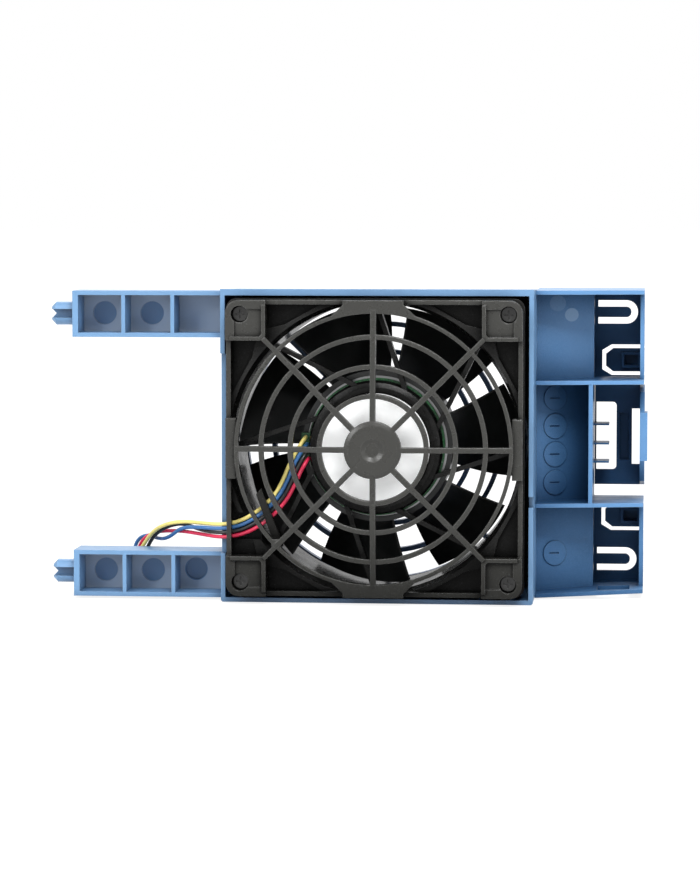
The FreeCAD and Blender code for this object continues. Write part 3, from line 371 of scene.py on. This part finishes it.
def windings():
    """Enamelled copper laid turn by turn."""
    n = Surface("enamelled_copper")
    links = {"Vector": n.place, "Scale": 260.0, "Distortion": 1.2, "Detail": 2.0,
             "Detail Scale": 1.5}
    turns = n.add("ShaderNodeTexWave", links, wave_type="BANDS", bands_direction="DIAGONAL")
    turns = turns.outputs["Fac"]
    n.set("Metallic", 1.0)
    n.set("Base Color", n.mix(turns, (0.30, 0.10, 0.04, 1), (0.80, 0.36, 0.16, 1)))
    n.set("Roughness", n.ramp(turns, 0.0, 1.0, 0.45, 0.25))
    n.set("Normal", n.bump(turns, 0.00012))
    return n.material


def film():
    """The bare label: satin white film with a faint orange peel, and a faint glow of painted light.
    """
    n = Surface("label_film")
    slow = n.spread(n.noise(90.0, 4.0))
    white = n.mix(slow, (0.86, 0.87, 0.87, 1), (0.94, 0.95, 0.95, 1))
    n.set("Base Color", white)
    # A faint glow, though the label is no lamp: painted light.
    n.set("Emission Color", white)
    n.set("Emission Strength", 0.22)
    n.set("Roughness", n.spread(n.noise(500.0), 0.34, 0.46))
    n.set("Normal", n.bump(n.noise(700.0), 0.00003, n.rounded(0.0001)))
    return n.material


# ---------------------------------------------------------------- what each piece is made of

BLUE = (0.138, 0.272, 0.462)
BLUE_POLISHED = (0.105, 0.255, 0.490)
# paler edges of the blue parts, wear and painted highlight, and the ramp marks' painted highlight
BLUE_WEAR_AND_HIGHLIGHT = (0.380, 0.525, 0.670)
# the blue's painted shade in corners and hollows
BLUE_PAINTED_SHADE = (0.010, 0.036, 0.092)
# painted light on the arms' cell floors
BLUE_PAINTED_LIGHT = (0.36, 0.42, 0.50)
BLUE_PIN_MARK = (0.07, 0.16, 0.30)
# paler edges of the black parts: wear and painted highlight
BLACK_WEAR_AND_HIGHLIGHT = (0.26, 0.26, 0.25)
BLUE_GRAIN = 2300.0

# Ejector marks on the handle's ramp, painted lighter as a painted highlight.
RAMP_MARK_HIGHLIGHTS = [                  # from the handle end's root, down from its top, radius, strength
    (0.0107, 0.0080, 0.0021, 0.28),
    (0.0064, 0.0043, 0.0025, 0.08),
]
CELL_FLOOR = 0.0017             # a front face this near the arm's back is the floor of a cell
CELL_PAINTED_LIGHT = 0.7                 # how far such a floor goes to the lighter, greyer blue of painted light
CELL_PINS = (0.0387, 0.0237)    # ejector marks in both arms, from the arm's inner end
LAST_PIN = (0.0100, 0.0004)     # one more in the lower arm: from its inner end, above its middle
PIN_RADIUS = 0.0036


def handle_blue():
    """The handle end: polished, with painted shade in its bays, and two faint ejector marks on the
    ramp that are painted lighter, a painted highlight.
    """
    n = moulded("handle_blue", BLUE_POLISHED, BLUE_WEAR_AND_HIGHLIGHT, BLUE_PAINTED_SHADE, 0.34, BLUE_GRAIN,
                depth=0.00002, cavity=0.9)
    low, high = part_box("handle_end")
    # The ramp marks' painted highlight, shown on front faces only.
    marks = 0.0
    for across, down, radius, strength in RAMP_MARK_HIGHLIGHTS:
        mark = n.math("MULTIPLY", n.discs([(low.x + across, high.z - down)], radius), strength)
        marks = n.math("ADD", mark, marks)
    shown = n.math("MULTIPLY", marks, n.front_faces(0.0))
    n.set("Base Color", n.mix(shown, n.colour, tint(BLUE_WEAR_AND_HIGHLIGHT)))
    return n.material


def arm_blue():
    """The arms: as the carrier, with the polished marks of ejector pins, and painted light that makes
    the cell floors lighter and greyer.
    """
    n = moulded("arm_blue", BLUE, BLUE_WEAR_AND_HIGHLIGHT, BLUE_PAINTED_SHADE, 0.36, BLUE_GRAIN, corner=0.006)
    low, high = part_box("guide_arm_upper")
    upper = (low.z + high.z) / 2
    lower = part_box("guide_arm_lower")[0].z + (high.z - low.z) / 2
    pins = [(high.x - inward, middle) for middle in (upper, lower) for inward in CELL_PINS]
    pins.append((high.x - LAST_PIN[0], lower + LAST_PIN[1]))
    # Cell floors painted lighter and greyer: painted light on the recessed floors.
    cells = n.front_faces(high.y - CELL_FLOOR)
    colour = n.mix(n.math("MULTIPLY", cells, CELL_PAINTED_LIGHT), n.colour, tint(BLUE_PAINTED_LIGHT))
    polished = n.math("MULTIPLY", n.discs(pins, PIN_RADIUS), cells)
    n.set("Base Color", n.mix(polished, colour, tint(BLUE_PIN_MARK)))
    return n.material


def finish(material, *nodes):
    """Give these nodes' own meshes the material."""
    for node in nodes:
        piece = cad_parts[node]
        piece.data.materials.clear()
        piece.data.materials.append(material)


# corner and cavity below set how much painted shade each material has in corners and hollows.
carrier = moulded("carrier_blue", BLUE, BLUE_WEAR_AND_HIGHLIGHT, BLUE_PAINTED_SHADE, 0.36, BLUE_GRAIN, corner=0.006)
grille = moulded("grille_blue", (0.06, 0.13, 0.28), (0.16, 0.28, 0.48), (0.01, 0.03, 0.08), 0.42,
                 BLUE_GRAIN)
housing = moulded("fan_black", (0.016, 0.016, 0.015), (0.11, 0.11, 0.105), (0.002, 0.002, 0.002),
                  0.27, 1900.0, dust=0.12, cavity=0.95)
# The guard's wide paler edges are wear and painted highlights along its ridges.
guard = moulded("guard_black", (0.023, 0.023, 0.020), BLACK_WEAR_AND_HIGHLIGHT, (0.003, 0.003, 0.003), 0.27,
                1700.0, edge=0.0004, soft=0.0007, cavity=0.9, dust=0.15)
push_pins = moulded("pin_black", (0.030, 0.030, 0.028), BLACK_WEAR_AND_HIGHLIGHT, (0.012, 0.012, 0.012), 0.30,
                    1700.0, corner=0.004)
blades = moulded("impeller_black", (0.010, 0.011, 0.011), (0.06, 0.06, 0.06),
                 (0.003, 0.003, 0.003), 0.34, 1500.0)
rubber = moulded("isolator_rubber", (0.02, 0.02, 0.02), (0.05, 0.05, 0.05),
                 (0.005, 0.005, 0.005), 0.75, 900.0, depth=0.00006)
package = moulded("component_black", (0.03, 0.03, 0.035), (0.09, 0.09, 0.09),
                  (0.01, 0.01, 0.01), 0.5, 3000.0, depth=0.00002)
nylon = moulded("connector_nylon", (0.62, 0.62, 0.56), (0.8, 0.8, 0.75), (0.30, 0.30, 0.26),
                0.42, 1600.0)
ferrite = moulded("ferrite", (0.05, 0.05, 0.055), (0.09, 0.09, 0.09), (0.01, 0.01, 0.01), 0.6,
                  1800.0)

finish(carrier.material, "carrier_frame")
finish(arm_blue(), "guide_arm_upper", "guide_arm_lower")
finish(handle_blue(), "handle_end", "mould_dials", "release_latch", "lock_tongue_upper",
       "lock_tongue_lower")
finish(grille.material, "rear_grille")
finish(housing.material, "fan_housing", "motor_base")
finish(guard.material, "finger_guard")
finish(push_pins.material, "guard_pins")
finish(blades.material, "impeller")
finish(rubber.material, "isolators")
finish(package.material, "board_components")
finish(nylon.material, "connector_housing")
finish(ferrite.material, "magnet_ring")
finish(metal("ground_steel", (0.72, 0.73, 0.75), 0.16, 1500.0, (0.06, 1.0, 1.0)),
       "rotor_shaft", "front_bearing", "rear_bearing")
finish(metal("spring_steel", (0.50, 0.51, 0.54), 0.28, 1200.0, (1.0, 0.1, 1.0)),
       "shaft_clip", "preload_washer")
finish(metal("plated_yoke", (0.62, 0.62, 0.63), 0.30, 900.0, (0.1, 1.0, 1.0)), "rotor_yoke")
finish(metal("turned_brass", (0.78, 0.58, 0.26), 0.24, 1300.0, (0.08, 1.0, 1.0)), "bearing_tube")
finish(metal("laminations", (0.33, 0.34, 0.36), 0.42, 1.0, (60.0, 2400.0, 60.0)), "stator_core")
finish(metal("tinned_contact", (0.74, 0.74, 0.72), 0.24, 1200.0, (1.0, 0.1, 0.1)),
       "connector_contacts")
finish(windings(), "stator_windings")
finish(board(), "circuit_board")
finish(film(), "motor_label")

WIRE_COLOUR = {
    "yellow": (0.86, 0.72, 0.22),
    "blue": (0.035, 0.14, 0.36),
    "black": (0.012, 0.012, 0.012),
    "red": (0.72, 0.025, 0.085),
}
for colour, wire in wires.items():
    wire.data.materials.append(insulation("insulation_" + colour, WIRE_COLOUR[colour]))

# ---------------------------------------------------------------- floor and backdrop

FLOOR_REACH = 12.0
FLOOR_GAP = 0.0002              # between the floor and the object's underside
PAPER = (0.86, 0.86, 0.86)
PAPER_GLOW = 1.22               # makes white with the share of dimmer paper near the object
SHADOW_SHARE = 0.3              # of the paper's own light and shadow, up to the nearer distance
SHADOWS_FADE = (0.25, 0.90)     # from the origin: where that share starts to fade, and is gone
WORLD_LIGHT = 0.28              # strength as a light; seen, mirrored or through glass it is white


def pale_floor():
    """Paper that takes the object's shadow and is otherwise white to the camera, in mirrors and
    through glass. To every other ray it is plain diffuse."""
    material = bpy.data.materials.new("pale_floor")
    material.use_nodes = True
    n = Tree(material.node_tree)
    n.tree.nodes.remove(n.tree.nodes["Principled BSDF"])
    seen = n.rays("Is Camera Ray", "Is Glossy Ray", "Is Transmission Ray")
    place = n.add("ShaderNodeNewGeometry").outputs["Position"]
    away = n.vector("LENGTH", place, gives="Value")
    white = n.ramp(away, *SHADOWS_FADE, 1 - SHADOW_SHARE, 1, curve="SMOOTHSTEP")
    links = {
        "Fac": n.math("MULTIPLY", seen, white),
        1: n.add("ShaderNodeBsdfDiffuse", {"Color": tint(PAPER)}).outputs["BSDF"],
        2: n.add("ShaderNodeEmission", {"Strength": PAPER_GLOW}).outputs["Emission"],
    }
    mixed = n.add("ShaderNodeMixShader", links).outputs["Shader"]
    n.put(n.tree.nodes["Material Output"].inputs["Surface"], mixed)
    return material


floor_mesh = bpy.data.meshes.new("floor")
corners = [(x * FLOOR_REACH, y * FLOOR_REACH, 0) for x, y in [(-1, -1), (1, -1), (1, 1), (-1, 1)]]
floor_mesh.from_pydata(corners, [], [(0, 1, 2, 3)])
floor = add_object("floor", floor_mesh)
floor.location.z = cad_low.z - FLOOR_GAP
floor_mesh.materials.append(pale_floor())

world = bpy.data.worlds.new("studio")
scene.world = world
world.use_nodes = True
studio = Tree(world.node_tree)
backdrop = studio.tree.nodes["Background"]
seen = studio.rays("Is Camera Ray", "Is Transmission Ray", "Is Glossy Ray")
studio.put(backdrop.inputs["Color"], (1, 1, 1, 1))
studio.put(backdrop.inputs["Strength"], studio.ramp(seen, 0, 1, WORLD_LIGHT, 1))

# ---------------------------------------------------------------- lamps

LAMPS_LOOK_AT = (0, 0, 0.05)
LAMPS = {                       # place, width and height, watts
    "key": ((-1.0, -1.3, 0.8), (0.7, 0.9), 14),
    "over": ((0.3, -1.1, 1.3), (0.7, 0.5), 22),
    "strip": ((0.05, -0.25, 1.3), (1.0, 0.2), 5),
    "fill": ((1.3, -1.0, 0.3), (0.6, 0.9), 5),
    "back": ((0.1, 1.2, 1.0), (1.2, 0.8), 8),
}

for name, (place, size, watts) in LAMPS.items():
    lamp_data = bpy.data.lights.new(name, "AREA")
    lamp_data.shape = "RECTANGLE"
    lamp_data.size, lamp_data.size_y = size
    lamp_data.energy = watts
    lamp = add_object(name, lamp_data)
    lamp.location = place
    aim(lamp, LAMPS_LOOK_AT)

view_settings = scene.view_settings
view_settings.view_transform = "Standard"
